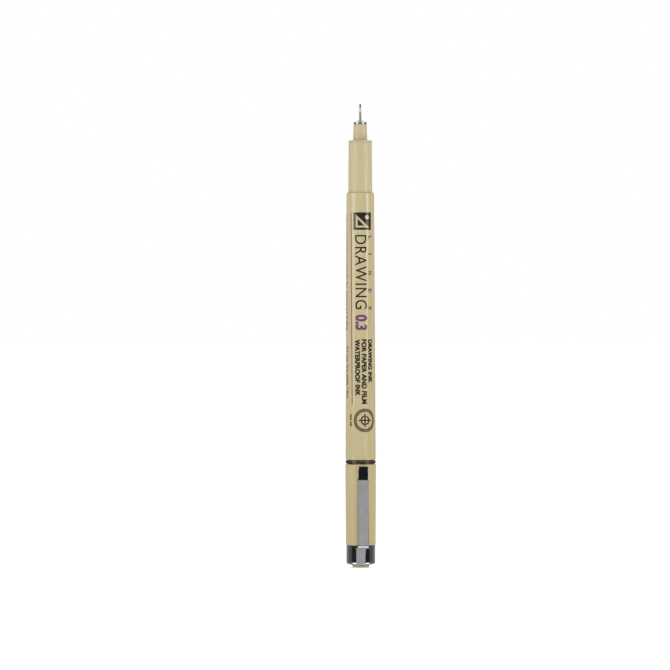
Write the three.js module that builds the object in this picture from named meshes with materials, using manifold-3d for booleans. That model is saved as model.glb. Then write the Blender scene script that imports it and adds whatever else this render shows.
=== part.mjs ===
// Technical pen (disposable fineliner), standing on its posted cap with the nib up.
// Millimetres, +Z up along the pen's axis, origin at the centre of the cap's end face.
// The clip faces -Y, turned a little towards +X.  Every round piece is turned about the Z axis with the same number
// of sides, so that pieces that fit in each other keep an even clearance all round.
import * as THREE from "three";
import { mergeVertices } from "three/addons/utils/BufferGeometryUtils.js";
import Module from "manifold-3d";

// ---------------------------------------------------------------- driving dimensions
const SIDES = 36; // facets round the axis on the body pieces
const FINE_SIDES = 24; // facets round the axis on the nib pieces

// levels along the axis
const Z_CROWN = 0.0; // end face of the crown plug, where the pen stands
const Z_BAND_END = 0.72; // end wall of the clip band
const Z_BAND_TOP = 7.1; // open edge of the clip band
const Z_NOTCH = 6.2; // floor of the notch in the band's edge, where the clip arm starts
const Z_CAP_MOUTH = 32.55; // open end of the cap
const Z_RING_LOW = 32.65;
const Z_RING_HIGH = 33.85;
const Z_BARREL_REAR = 33.9;
const Z_BARREL_FRONT = 118.0;
const Z_SLEEVE_FRONT = 133.88; // front edge of the grip sleeve
const Z_LIP = 134.4; // front face of the nose piece's flange
const Z_NOSE = 139.55; // front edge of the nose
const Z_FERRULE = 140.8; // top of the metal ferrule
const Z_TUBE = 144.95; // end of the nib's steel tube
const Z_NIB = 146.0; // writing point

// radii of the casings
const R_CROWN = 2.65;
const R_BAND = 4.54;
const BAND_WALL = 0.28;
const R_CAP_REAR = 4.68;
const R_CAP_MOUTH = 4.825;
const R_CAP_BORE = 3.95; // runs on the tail plug and over the grip sleeve
const R_LINER = 3.65; // outside of the inner cap
const R_RING = 4.74;
const R_GROOVE = 3.66; // the ring sits in a groove of the tail plug
const R_BARREL_REAR = 4.74;
const R_BARREL_FRONT = 4.35;
const R_BARREL_BORE = 3.6;
const R_SLEEVE_REAR = 3.79;
const R_SLEEVE_FRONT = 3.66;
const R_LIP = 3.74;
const R_NOSE_BASE = 2.22;
const R_NOSE_TIP = 2.05;
const R_FERRULE = 2.08;
const R_TUBE = 0.37;
const R_NIB = 0.26;

// posting boss of the tail plug and the inner cap's depths, measured in the posted cap
const Z_BOSS_END = 20.55;
const R_BOSS = 3.88;
const Z_LINER_MOUTH = 16.0;
const Z_CHAMBER_FLOOR = 3.6;
const R_CHAMBER = 3.0; // room round the nib when the cap is on the front
const R_SEAL = 2.28; // lip that seals on the nose

// clip arm
const CLIP_AZIMUTH = 8; // degrees from -Y towards +X
const CLIP_WIDTH = 3.42;
const CLIP_THICK = 0.4;
const NOTCH_WIDTH = 5.3;

// ---------------------------------------------------------------- helpers
const wasm = await Module();
wasm.setup();

// A solid turned about the Z axis.  The profile is a list of [radius, z] that starts and
// ends on the axis, or closes on itself, going up the outside and down the inside.
function turned(profile, sides = SIDES) {
  const points = profile.map(([r, z]) => new THREE.Vector2(r, z));
  const geometry = new THREE.LatheGeometry(points, sides);
  geometry.rotateX(Math.PI / 2);
  return geometry;
}

// A tube-like solid: outer points from the low end to the high end, then inner points back.
function ring(outer, inner, sides = SIDES) {
  const loop = [...outer, ...inner];
  loop.push(loop[0]);
  return turned(loop, sides);
}

function solidOf(geometry) {
  let g = geometry.index ? geometry.toNonIndexed() : geometry.clone();
  g.deleteAttribute("normal");
  g.deleteAttribute("uv");
  g = mergeVertices(g, 1e-4);
  return new wasm.Manifold(
    new wasm.Mesh({
      numProp: 3,
      vertProperties: g.attributes.position.array,
      triVerts: new Uint32Array(g.index.array),
    }),
  );
}

function geometryOf(solid) {
  const m = solid.getMesh();
  const v = new Float32Array(m.numVert * 3);
  for (let i = 0; i < m.numVert; i++)
    v.set(m.vertProperties.subarray(i * m.numProp, i * m.numProp + 3), i * 3);
  const g = new THREE.BufferGeometry();
  g.setAttribute("position", new THREE.BufferAttribute(v, 3));
  g.setIndex(new THREE.BufferAttribute(new Uint32Array(m.triVerts), 1));
  g.computeVertexNormals();
  return g;
}

const barrelRadius = (z) =>
  R_BARREL_REAR +
  ((z - Z_BARREL_REAR) / (Z_BARREL_FRONT - Z_BARREL_REAR)) *
    (R_BARREL_FRONT - R_BARREL_REAR);

// ---------------------------------------------------------------- materials
const ivory = new THREE.MeshStandardMaterial({
  color: 0xc9bb8c,
  roughness: 0.28,
  metalness: 0,
});
const ivorySatin = new THREE.MeshStandardMaterial({
  color: 0xcbbd95,
  roughness: 0.4,
  metalness: 0,
});
const black = new THREE.MeshStandardMaterial({
  color: 0x221d19,
  roughness: 0.35,
  metalness: 0,
});
const chrome = new THREE.MeshStandardMaterial({
  color: 0xb9b9bd,
  roughness: 0.08,
  metalness: 1,
});
const steel = new THREE.MeshStandardMaterial({
  color: 0xc8c6c0,
  roughness: 0.18,
  metalness: 1,
});
const liner = new THREE.MeshStandardMaterial({
  color: 0xe4dfcf,
  roughness: 0.5,
  metalness: 0,
});
const nibPlastic = new THREE.MeshStandardMaterial({
  color: 0x2a2626,
  roughness: 0.6,
  metalness: 0,
});
const fibre = new THREE.MeshStandardMaterial({
  color: 0x2b2a30,
  roughness: 0.9,
  metalness: 0,
});
const film = new THREE.MeshStandardMaterial({
  color: 0xe9e9e6,
  roughness: 0.2,
  metalness: 0,
});

// ---------------------------------------------------------------- assembly
const pen = new THREE.Group();
const cap = new THREE.Group();
cap.rotation.z = THREE.MathUtils.degToRad(CLIP_AZIMUTH);
pen.add(cap);

function piece(name, geometry, material, parent = pen) {
  const mesh = new THREE.Mesh(geometry, material);
  mesh.name = name;
  parent.add(mesh);
  return mesh;
}

// ---- barrel: one long tapered tube, open at both ends
piece(
  "barrel",
  ring(
    [
      [R_BARREL_REAR - 0.38, Z_BARREL_REAR],
      [R_BARREL_REAR - 0.11, Z_BARREL_REAR + 0.11],
      [R_BARREL_REAR, Z_BARREL_REAR + 0.38],
      [barrelRadius(62), 62],
      [barrelRadius(90), 90],
      [R_BARREL_FRONT, Z_BARREL_FRONT - 0.5],
      [R_BARREL_FRONT - 0.05, Z_BARREL_FRONT - 0.25],
      [R_BARREL_FRONT - 0.2, Z_BARREL_FRONT - 0.08],
      [R_BARREL_FRONT - 0.42, Z_BARREL_FRONT],
    ],
    [
      [R_BARREL_BORE + 0.1, Z_BARREL_FRONT],
      [R_BARREL_BORE, Z_BARREL_FRONT - 0.3],
      [R_BARREL_BORE, Z_BARREL_REAR + 0.3],
      [R_BARREL_BORE + 0.1, Z_BARREL_REAR],
    ],
  ),
  ivory,
);

// ---- tail plug: a hollow spigot in the barrel and the boss that the cap posts on
piece(
  "tail_plug",
  turned([
    [0, Z_BOSS_END],
    [R_BOSS - 0.75, Z_BOSS_END],
    [R_BOSS - 0.3, Z_BOSS_END + 0.3],
    [R_BOSS - 0.08, Z_BOSS_END + 1.2],
    [R_BOSS, Z_BOSS_END + 5],
    [R_BOSS, Z_RING_LOW - 0.2],
    [R_BOSS - 0.06, Z_RING_LOW - 0.06],
    [R_GROOVE, Z_RING_LOW - 0.04],
    [R_GROOVE, Z_BARREL_REAR - 0.02],
    [R_BARREL_BORE - 0.05, Z_BARREL_REAR - 0.02],
    [R_BARREL_BORE - 0.05, Z_BARREL_REAR + 3.4],
    [R_BARREL_BORE - 0.35, Z_BARREL_REAR + 4.0],
    [2.7, Z_BARREL_REAR + 4.0],
    [2.6, Z_BARREL_REAR],
    [2.6, Z_BOSS_END + 1.6],
    [0, Z_BOSS_END + 1.4],
  ]),
  black,
);

// ---- ring between the barrel and the posted cap, free to turn on the tail plug
piece(
  "tail_ring",
  ring(
    [
      [R_RING - 0.45, Z_RING_LOW],
      [R_RING - 0.14, Z_RING_LOW + 0.13],
      [R_RING, Z_RING_LOW + 0.45],
      [R_RING, Z_RING_HIGH - 0.45],
      [R_RING - 0.14, Z_RING_HIGH - 0.13],
      [R_RING - 0.45, Z_RING_HIGH],
    ],
    [
      [R_GROOVE + 0.08, Z_RING_HIGH],
      [R_GROOVE + 0.08, Z_RING_LOW],
    ],
  ),
  black,
);

// ---- ink store: a fibre rod in a film sleeve, with a blind hole for the feed
const R_STORE = 3.2;
const Z_STORE_REAR = 38.2;
const Z_STORE_FRONT = 107.4;
const R_FEED = 1.0;
const Z_FEED_REAR = 98.0;
piece(
  "reservoir_fibre",
  turned([
    [0, Z_STORE_REAR],
    [R_STORE, Z_STORE_REAR],
    [R_STORE, Z_STORE_FRONT],
    [R_FEED + 0.04, Z_STORE_FRONT],
    [R_FEED + 0.04, Z_FEED_REAR - 0.05],
    [0, Z_FEED_REAR - 0.05],
  ]),
  fibre,
);
piece(
  "reservoir_film",
  ring(
    [
      [R_STORE + 0.15, Z_STORE_REAR],
      [R_STORE + 0.15, Z_STORE_FRONT],
    ],
    [
      [R_STORE + 0.03, Z_STORE_FRONT],
      [R_STORE + 0.03, Z_STORE_REAR],
    ],
  ),
  film,
);

// ---- grip sleeve: the visible front section and its spigot in the barrel
piece(
  "grip_sleeve",
  ring(
    [
      [R_BARREL_BORE - 0.35, 108.0],
      [R_BARREL_BORE - 0.05, 108.6],
      [R_BARREL_BORE - 0.05, Z_BARREL_FRONT + 0.02],
      [R_SLEEVE_REAR, Z_BARREL_FRONT + 0.02],
      [R_SLEEVE_REAR - 0.04, 122.5],
      [R_SLEEVE_FRONT, Z_SLEEVE_FRONT - 0.12],
      [R_SLEEVE_FRONT - 0.1, Z_SLEEVE_FRONT],
    ],
    [
      [2.95, Z_SLEEVE_FRONT],
      [2.95, 108.0],
    ],
  ),
  ivorySatin,
);

// ---- nose piece: flange, nose and the spigot pressed into the grip sleeve
piece(
  "nose_piece",
  ring(
    [
      [2.3, 121.6],
      [2.9, 122.2],
      [2.9, Z_SLEEVE_FRONT + 0.04],
      [R_LIP - 0.06, Z_SLEEVE_FRONT + 0.04],
      [R_LIP, Z_SLEEVE_FRONT + 0.14],
      [R_LIP, Z_LIP - 0.16],
      [R_LIP - 0.16, Z_LIP],
      [R_NOSE_BASE + 0.06, Z_LIP],
      [R_NOSE_BASE, Z_LIP + 0.08],
      [R_NOSE_BASE - 0.05, 137.2],
      [R_NOSE_TIP + 0.05, Z_NOSE - 0.45],
      [R_NOSE_TIP, Z_NOSE],
    ],
    [
      [1.42, Z_NOSE],
      [1.42, 135.5],
      [1.62, 135.5],
      [1.62, 121.6],
    ],
  ),
  ivorySatin,
);

// ---- nib holder: the bush that carries the steel tube and the feed
piece(
  "nib_holder",
  ring(
    [
      [1.5, 126.0],
      [1.58, 126.2],
      [1.58, 135.42],
    ],
    [
      [0.41, 135.42],
      [0.41, 133.75],
      [R_FEED + 0.04, 133.6],
      [R_FEED + 0.04, 126.0],
    ],
    FINE_SIDES,
  ),
  liner,
);

// ---- ink feed: a fibre rod from the reservoir to the nib
piece(
  "ink_feed",
  turned(
    [
      [0, Z_FEED_REAR],
      [0.55, Z_FEED_REAR],
      [R_FEED, Z_FEED_REAR + 1.0],
      [R_FEED, 132.9],
      [0.6, 133.5],
      [0, 133.5],
    ],
    FINE_SIDES,
  ),
  fibre,
);

// ---- metal ferrule: domed flange on the nose and a shank inside it
piece(
  "nib_ferrule",
  ring(
    [
      [1.38, 135.5],
      [1.38, Z_NOSE + 0.02],
      [R_FERRULE - 0.04, Z_NOSE + 0.02],
      [R_FERRULE, Z_NOSE + 0.1],
      [R_FERRULE, Z_NOSE + 0.42],
      [R_FERRULE - 0.14, Z_NOSE + 0.62],
      [1.3, Z_NOSE + 0.9],
      [0.78, Z_FERRULE - 0.14],
      [0.55, Z_FERRULE],
    ],
    [
      [0.4, Z_FERRULE],
      [0.4, 135.5],
    ],
    FINE_SIDES,
  ),
  chrome,
);

// ---- steel tube round the nib
piece(
  "nib_tube",
  ring(
    [
      [R_TUBE, 133.9],
      [R_TUBE, Z_TUBE - 0.35],
      [R_TUBE - 0.05, Z_TUBE],
    ],
    [
      [R_NIB + 0.03, Z_TUBE],
      [R_NIB + 0.03, 133.9],
    ],
    FINE_SIDES,
  ),
  steel,
);

// ---- nib: a plastic capillary rod with a rounded writing point
piece(
  "nib_core",
  turned(
    [
      [0, 133.56],
      [R_NIB, 133.56],
      [R_NIB, Z_NIB - 0.55],
      [R_NIB - 0.03, Z_NIB - 0.3],
      [R_NIB - 0.1, Z_NIB - 0.08],
      [0, Z_NIB],
    ],
    FINE_SIDES,
  ),
  nibPlastic,
);

// ---- cap shell: tapered outside, bored for the grip sleeve, stepped down inside the band
piece(
  "cap_shell",
  ring(
    [
      [R_BAND - BAND_WALL - 0.3, 1.9],
      [R_BAND - BAND_WALL - 0.06, 2.1],
      [R_BAND - BAND_WALL - 0.06, Z_BAND_TOP + 0.04],
      [R_CAP_REAR - 0.06, Z_BAND_TOP + 0.04],
      [R_CAP_REAR, Z_BAND_TOP + 0.12],
      [4.735, 17.5],
      [R_CAP_MOUTH - 0.05, 26.0],
      [R_CAP_MOUTH - 0.02, 29.5],
      [R_CAP_MOUTH, Z_CAP_MOUTH - 0.3],
      [R_CAP_MOUTH - 0.09, Z_CAP_MOUTH - 0.09],
      [R_CAP_MOUTH - 0.3, Z_CAP_MOUTH],
    ],
    [
      [R_CAP_BORE + 0.15, Z_CAP_MOUTH],
      [R_CAP_BORE, Z_CAP_MOUTH - 0.4],
      [R_CAP_BORE, Z_LINER_MOUTH],
      [R_LINER + 0.03, Z_LINER_MOUTH - 0.05],
      [R_LINER + 0.03, 1.9],
    ],
  ),
  ivory,
  cap,
);

// ---- inner cap: blind liner that seals on the nose and keeps the nib from drying
piece(
  "inner_cap",
  turned([
    [0, 1.92],
    [R_LINER - 0.15, 1.92],
    [R_LINER, 2.1],
    [R_LINER, Z_LINER_MOUTH - 0.1],
    [R_CHAMBER + 0.3, Z_LINER_MOUTH - 0.1],
    [R_SEAL + 0.1, 14.9],
    [R_SEAL, 14.5],
    [R_SEAL, 13.2],
    [R_CHAMBER, 12.2],
    [R_CHAMBER, Z_CHAMBER_FLOOR + 0.5],
    [R_CHAMBER - 0.5, Z_CHAMBER_FLOOR],
    [0, Z_CHAMBER_FLOOR],
  ]),
  liner,
  cap,
);

// ---- crown plug: the disc that shows through the band's end, held by its flange
piece(
  "crown_plug",
  turned([
    [0, Z_CROWN],
    [R_CROWN - 0.18, Z_CROWN],
    [R_CROWN, Z_CROWN + 0.16],
    [R_CROWN, Z_BAND_END + BAND_WALL + 0.04],
    [3.5, Z_BAND_END + 0.62],
    [3.5, 1.84],
    [0, 1.84],
  ]),
  ivory,
  cap,
);

// ---- clip band: a drawn metal cup with a hole in its end and a notch in its edge
{
  const cup = ring(
    [
      [R_CROWN + 0.06, Z_BAND_END],
      [R_BAND - 0.39, Z_BAND_END + 0.4],
      [R_BAND - 0.17, Z_BAND_END + 0.52],
      [R_BAND - 0.04, Z_BAND_END + 0.72],
      [R_BAND, Z_BAND_END + 0.95],
      [R_BAND, Z_BAND_TOP],
    ],
    [
      [R_BAND - BAND_WALL, Z_BAND_TOP],
      [R_BAND - BAND_WALL, Z_BAND_END + 0.9],
      [R_BAND - BAND_WALL - 0.06, Z_BAND_END + 0.75],
      [R_BAND - BAND_WALL - 0.21, Z_BAND_END + 0.66],
      [R_CROWN + 0.06, Z_BAND_END + BAND_WALL],
    ],
  );
  // the notch is cut through the wall, with rounded lower corners
  const half = NOTCH_WIDTH / 2;
  const corner = 0.35;
  const outline = new THREE.Shape();
  outline.moveTo(-half, 2.0);
  outline.lineTo(-half, corner);
  outline.absarc(-half + corner, corner, corner, Math.PI, 1.5 * Math.PI, false);
  outline.absarc(half - corner, corner, corner, 1.5 * Math.PI, 2 * Math.PI, false);
  outline.lineTo(half, 2.0);
  outline.closePath();
  const notch = new THREE.ExtrudeGeometry(outline, {
    depth: 3.0,
    bevelEnabled: false,
    curveSegments: 4,
  });
  notch.rotateX(Math.PI / 2);
  notch.translate(0, -R_BAND + 1.8, Z_NOTCH);
  piece(
    "clip_band",
    geometryOf(solidOf(cup).subtract(solidOf(notch))),
    chrome,
    cap,
  );
}

// ---- clip arm: a sprung strip that rises from the notch, runs along the cap, touches it
// and flares out at its free end.  Its centreline is a list of [distance from axis, z].
{
  const centreline = [
    [4.4, Z_NOTCH + 0.05],
    [4.5, 6.4],
    [5.02, 6.46],
    [5.34, 6.64],
    [5.58, 6.9],
    [5.69, 7.25],
    [5.7, 8.4],
    [5.42, 17.5],
    [5.11, 26.4],
    [5.08, 27.3],
    [5.12, 28.1],
    [5.28, 29.2],
    [5.74, 31.93],
  ].map(([r, z]) => new THREE.Vector2(r, z));
  const half = CLIP_THICK / 2;
  const outside = [];
  const inside = [];
  centreline.forEach((p, i) => {
    const a = centreline[Math.max(0, i - 1)];
    const b = centreline[Math.min(centreline.length - 1, i + 1)];
    const t = b.clone().sub(a).normalize();
    const n = new THREE.Vector2(t.y, -t.x); // away from the axis
    outside.push(p.clone().addScaledVector(n, half));
    inside.push(p.clone().addScaledVector(n, -half));
  });
  // the root's end is square to the axis, so that it meets the floor of the notch
  outside[0].y = inside[0].y = Z_NOTCH + 0.05;
  const shape = new THREE.Shape([...outside, ...inside.reverse()]);
  const strip = new THREE.ExtrudeGeometry(shape, {
    depth: CLIP_WIDTH,
    bevelEnabled: false,
  });
  // shape x is the distance from the axis, shape y is the level, depth is across the strip
  strip.translate(0, 0, -CLIP_WIDTH / 2);
  const place = new THREE.Matrix4().makeBasis(
    new THREE.Vector3(0, -1, 0),
    new THREE.Vector3(0, 0, 1),
    new THREE.Vector3(-1, 0, 0),
  );
  strip.applyMatrix4(place);
  // the free end tapers a little and has its corners taken off
  const w = CLIP_WIDTH / 2;
  const plan = new THREE.Shape(
    [
      [-w, Z_NOTCH - 1],
      [w, Z_NOTCH - 1],
      [w, 29.8],
      [w - 0.09, 31.5],
      [w - 0.25, 32.4],
      [-w + 0.25, 32.4],
      [-w + 0.09, 31.5],
      [-w, 29.8],
    ].map(([x, z]) => new THREE.Vector2(x, z)),
  );
  const trim = new THREE.ExtrudeGeometry(plan, { depth: 6, bevelEnabled: false });
  trim.rotateX(Math.PI / 2); // plan's second axis becomes +Z, the depth runs to -Y
  trim.translate(0, -2, 0);
  piece(
    "clip_arm",
    geometryOf(solidOf(strip).intersect(solidOf(trim))),
    chrome,
    cap,
  );
}

export default pen;
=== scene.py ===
import math

import bmesh
import bpy
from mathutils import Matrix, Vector
from mathutils.bvhtree import BVHTree
from mathutils.geometry import delaunay_2d_cdt


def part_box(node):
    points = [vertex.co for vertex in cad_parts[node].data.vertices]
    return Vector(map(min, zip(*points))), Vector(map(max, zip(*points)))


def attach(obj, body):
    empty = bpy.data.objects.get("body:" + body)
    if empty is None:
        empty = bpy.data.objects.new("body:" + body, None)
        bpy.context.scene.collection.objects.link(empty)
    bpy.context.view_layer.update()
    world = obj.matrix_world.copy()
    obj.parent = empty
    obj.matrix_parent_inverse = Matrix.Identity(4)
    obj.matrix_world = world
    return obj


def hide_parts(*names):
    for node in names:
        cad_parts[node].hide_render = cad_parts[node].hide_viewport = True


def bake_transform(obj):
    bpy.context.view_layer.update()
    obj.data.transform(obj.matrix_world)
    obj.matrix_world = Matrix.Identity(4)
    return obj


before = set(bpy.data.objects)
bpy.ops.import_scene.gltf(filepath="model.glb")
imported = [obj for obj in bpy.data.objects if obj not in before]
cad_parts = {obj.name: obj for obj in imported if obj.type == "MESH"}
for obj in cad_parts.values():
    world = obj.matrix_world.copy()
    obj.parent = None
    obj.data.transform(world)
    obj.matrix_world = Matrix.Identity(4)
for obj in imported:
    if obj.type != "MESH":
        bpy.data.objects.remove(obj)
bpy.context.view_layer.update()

MM = 0.001
scene = bpy.context.scene

# ---------------------------------------------------------------- levels and sizes, millimetres
def level(node, top=False):
    lo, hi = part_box(node)
    return (hi.z if top else lo.z) / MM


Z_MOUTH = level("cap_shell", True)
Z_RING0, Z_RING1 = level("tail_ring"), level("tail_ring", True)
Z_REAR, Z_FRONT = level("barrel"), level("barrel", True)
Z_SLEEVE = level("grip_sleeve", True)
Z_NOSE = level("nose_piece", True)
Z_FERRULE = level("nib_ferrule", True)
Z_TUBE = level("nib_tube", True)
Z_NIB = level("nib_core", True)
Z_BAND0, Z_BAND1 = level("clip_band"), level("clip_band", True)
Z_CLIP0, Z_CLIP1 = level("clip_arm"), level("clip_arm", True)
Z_BOSS = level("tail_plug")
R_REAR, R_FRONT = 4.74, 4.35
R_BORE = 3.6
CLIP_AZ = math.radians(8.0)


def barrel_r(z):
    return R_REAR + (z - Z_REAR) / (Z_FRONT - Z_REAR) * (R_FRONT - R_REAR)


# ---------------------------------------------------------------- mesh helpers
def rounded(points, closed=False, steps=5):
    """A dense (r, z) line from corners (r, z, radius): each corner is an arc, and each long
    straight run gets support points near its ends, so that shading stays flat along it."""
    n = len(points)
    arcs = []
    for i, p in enumerate(points):
        r, z = p[0], p[1]
        f = p[2] if len(p) > 2 else 0.0
        here = Vector((r, z))
        if f <= 0 or (not closed and i in (0, n - 1)):
            arcs.append([here])
            continue
        a = Vector(points[i - 1][:2]) - here
        b = Vector(points[(i + 1) % n][:2]) - here
        la, lb = a.length, b.length
        a.normalize()
        b.normalize()
        angle = a.angle(b)
        if angle > math.radians(178):
            arcs.append([here])
            continue
        reach = min(f / math.tan(angle / 2), la * 0.49, lb * 0.49)
        f = reach * math.tan(angle / 2)
        centre = here + (a + b).normalized() * (f / math.sin(angle / 2))
        s, e = here + a * reach, here + b * reach
        a0 = math.atan2(s.y - centre.y, s.x - centre.x)
        a1 = math.atan2(e.y - centre.y, e.x - centre.x)
        while a1 - a0 > math.pi:
            a1 -= 2 * math.pi
        while a1 - a0 < -math.pi:
            a1 += 2 * math.pi
        k = max(2, math.ceil(steps * abs(a1 - a0) / (math.pi / 2)))
        arcs.append(
            [
                centre + Vector((math.cos(t), math.sin(t))) * f
                for t in [a0 + (a1 - a0) * j / k for j in range(k + 1)]
            ]
        )
    line = []
    m = n if closed else n - 1
    for i in range(n):
        line += arcs[i]
        if i < m:
            s, e = arcs[i][-1], arcs[(i + 1) % n][0]
            length = (e - s).length
            if length > 0.12:
                d = min(0.05, length * 0.2)
                cuts = [d]
                rest = length - 2 * d
                k = max(1, math.ceil(rest / 5.0))
                cuts += [d + rest * j / k for j in range(1, k + 1)]
                line += [s + (e - s) * (c / length) for c in cuts]
    out = [line[0]]
    for p in line[1:]:
        if (p - out[-1]).length > 1e-5:
            out.append(p)
    if closed and (out[0] - out[-1]).length < 1e-5:
        out.pop()
    return [(p.x, p.y) for p in out]


def mesh_object(name, verts, faces, smooth=True, sharp=38.0):
    me = bpy.data.meshes.new(name)
    me.from_pydata([(x * MM, y * MM, z * MM) for x, y, z in verts], [], faces)
    me.validate()
    bm = bmesh.new()
    bm.from_mesh(me)
    bmesh.ops.recalc_face_normals(bm, faces=bm.faces)
    bm.to_mesh(me)
    bm.free()
    if smooth:
        me.polygons.foreach_set("use_smooth", [True] * len(me.polygons))
        me.set_sharp_from_angle(angle=math.radians(sharp))
    ob = bpy.data.objects.new(name, me)
    scene.collection.objects.link(ob)
    return ob


def lathe(name, line, closed, segs=144, push=None):
    """The line turned about Z.  push(phi, r, z) may move a point in or out."""
    verts, rings, faces = [], [], []
    for r, z in line:
        if r < 1e-6:
            rings.append([len(verts)] * segs)
            verts.append((0.0, 0.0, z))
            continue
        first = len(verts)
        for j in range(segs):
            a = 2 * math.pi * j / segs
            rr, zz = (r, z) if push is None else push(a, r, z)
            verts.append((rr * math.sin(a), -rr * math.cos(a), zz))
        rings.append(list(range(first, first + segs)))
    pairs = list(zip(rings, rings[1:]))
    if closed:
        pairs.append((rings[-1], rings[0]))
    for a, b in pairs:
        for j in range(segs):
            k = (j + 1) % segs
            quad = [a[j], a[k], b[k], b[j]]
            face = []
            for v in quad:
                if v not in face:
                    face.append(v)
            if len(face) > 2:
                faces.append(face)
    return mesh_object(name, verts, faces)


def turned(name, corners, closed=True, segs=144, steps=5, push=None):
    return lathe(name, rounded(corners, closed, steps), closed, segs, push)


def stands_for(ob, node, body, mat):
    ob.data.materials.append(mat)
    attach(ob, body)
    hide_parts(node)
    return ob


# ---------------------------------------------------------------- node helpers
class Net:
    """Short names for building a node tree."""

    def __init__(self, tree):
        self.t = tree
        self.t.nodes.clear()

    def new(self, kind, **values):
        n = self.t.nodes.new(kind)
        for k, v in values.items():
            setattr(n, k, v)
        return n

    def put(self, socket, value):
        if isinstance(value, bpy.types.NodeSocket):
            self.t.links.new(value, socket)
        else:
            socket.default_value = value

    def math(self, op, *args):
        n = self.new("ShaderNodeMath", operation=op)
        for i, a in enumerate(args):
            self.put(n.inputs[i], a)
        return n.outputs[0]

    def step(self, x, a, b, lo=0.0, hi=1.0, smooth=True):
        n = self.new("ShaderNodeMapRange")
        n.interpolation_type = "SMOOTHSTEP" if smooth else "LINEAR"
        n.clamp = True
        self.put(n.inputs[0], x)
        for i, v in zip((1, 2, 3, 4), (a, b, lo, hi)):
            n.inputs[i].default_value = v
        return n.outputs[0]

    def window(self, x, a, b, soft):
        up = self.step(x, a - soft, a + soft)
        down = self.step(x, b - soft, b + soft, 1.0, 0.0)
        return self.math("MULTIPLY", up, down)

    def lay(self, under, value, weight):
        """under, with value laid over it where weight is 1"""
        d = self.math("SUBTRACT", value, under)
        return self.math("MULTIPLY_ADD", d, weight, under)

    def stretched(self, source, scale):
        n = self.new("ShaderNodeMapping")
        self.put(n.inputs["Vector"], source)
        n.inputs["Scale"].default_value = scale
        return n.outputs[0]

    def noise(self, vector, scale, detail=2.0, rough=0.5, distort=0.0):
        n = self.new("ShaderNodeTexNoise")
        self.put(n.inputs["Vector"], vector)
        n.inputs["Scale"].default_value = scale
        n.inputs["Detail"].default_value = detail
        n.inputs["Roughness"].default_value = rough
        n.inputs["Distortion"].default_value = distort
        return n.outputs["Fac"]

    def tint(self, fac, a, b):
        n = self.new("ShaderNodeMix", data_type="RGBA")
        self.put(n.inputs[0], fac)
        n.inputs[6].default_value = (*a, 1)
        n.inputs[7].default_value = (*b, 1)
        return n.outputs[2]

    def tint_over(self, fac, a, b):
        n = self.new("ShaderNodeMix", data_type="RGBA")
        self.put(n.inputs[0], fac)
        self.put(n.inputs[6], a)
        n.inputs[7].default_value = (*b, 1)
        return n.outputs[2]

    def bump(self, height, distance, strength=1.0, after=None):
        n = self.new("ShaderNodeBump")
        self.put(n.inputs["Height"], height)
        n.inputs["Distance"].default_value = distance
        n.inputs["Strength"].default_value = strength
        if after is not None:
            self.put(n.inputs["Normal"], after)
        return n.outputs[0]


def srgb(r, g, b):
    def one(c):
        c /= 255
        return c / 12.92 if c <= 0.04045 else ((c + 0.055) / 1.055) ** 2.4

    return (one(r), one(g), one(b))


def times(c, k):
    return tuple(x * k for x in c)


def material(name, **plain):
    m = bpy.data.materials.new(name)
    m.use_nodes = True
    net = Net(m.node_tree)
    out = net.new("ShaderNodeOutputMaterial")
    b = net.new("ShaderNodeBsdfPrincipled")
    m.node_tree.links.new(b.outputs[0], out.inputs[0])
    for k, v in plain.items():
        b.inputs[k.replace("_", " ")].default_value = v
    place = net.new("ShaderNodeTexCoord").outputs["Object"]
    return m, net, b, place


# ---------------------------------------------------------------- materials
def moulded(name, colour, dark, rough, spread, grain, grain_depth, peel_depth, gap=None):
    """Moulded ivory plastic: faint clouding, flow streaks along the part, a fine tool
    texture and a slow waviness of the surface."""
    m, n, b, at = material(name, IOR=1.5)
    cloud = n.noise(at, 70, 2, 0.5)
    flow = n.noise(n.stretched(at, (1.0, 1.0, 0.06)), 900, 2, 0.55)
    mixed = n.math("MULTIPLY_ADD", flow, 0.45, n.math("MULTIPLY", cloud, 0.55))
    tone = n.tint(n.step(mixed, 0.3, 0.7), dark, colour)
    if gap is not None:  # painted shade: the plastic below this level is darkened to stand for the shadow in the gap that the band closes
        sep = n.new("ShaderNodeSeparateXYZ")
        n.put(sep.inputs[0], at)
        painted_shade_level = n.math("MULTIPLY_ADD", n.noise(at, 1500, 2, 0.6), 0.00015, sep.outputs[2])
        tone = n.tint_over(n.step(painted_shade_level, (gap + 0.0) * MM, (gap + 0.12) * MM, 1.0, 0.0), tone, times(colour, 0.11))
    n.put(b.inputs["Base Color"], tone)
    smear = n.noise(n.stretched(at, (1.0, 1.0, 0.35)), 260, 3, 0.6)
    n.put(b.inputs["Roughness"], n.step(smear, 0.25, 0.75, rough - spread, rough + spread))
    fine = n.bump(n.noise(at, grain, 2, 0.55), grain_depth)
    slow = n.bump(n.noise(at, 620, 1, 0.4), peel_depth, 1.0, fine)
    n.put(b.inputs["Normal"], slow)
    return m


IVORY = (0.533, 0.456, 0.254)
barrel_mat = moulded("barrel_gloss_ivory", IVORY, times(IVORY, 0.965), 0.055, 0.012, 5200, 1.2e-7, 9e-7)
SATIN = (0.540, 0.461, 0.268)
satin_mat = moulded("satin_ivory", SATIN, times(SATIN, 0.96), 0.37, 0.03, 7000, 3.4e-6, 1.8e-6)
CAPC = (0.522, 0.432, 0.219)
cap_mat = moulded("cap_satin_ivory", CAPC, times(CAPC, 0.96), 0.40, 0.03, 7000, 3.6e-6, 1.8e-6, Z_BAND1)
plug_mat = moulded("crown_plug_ivory", (0.50, 0.445, 0.31), (0.47, 0.42, 0.29), 0.42, 0.03, 7000, 3.6e-6, 2.5e-6)


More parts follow.
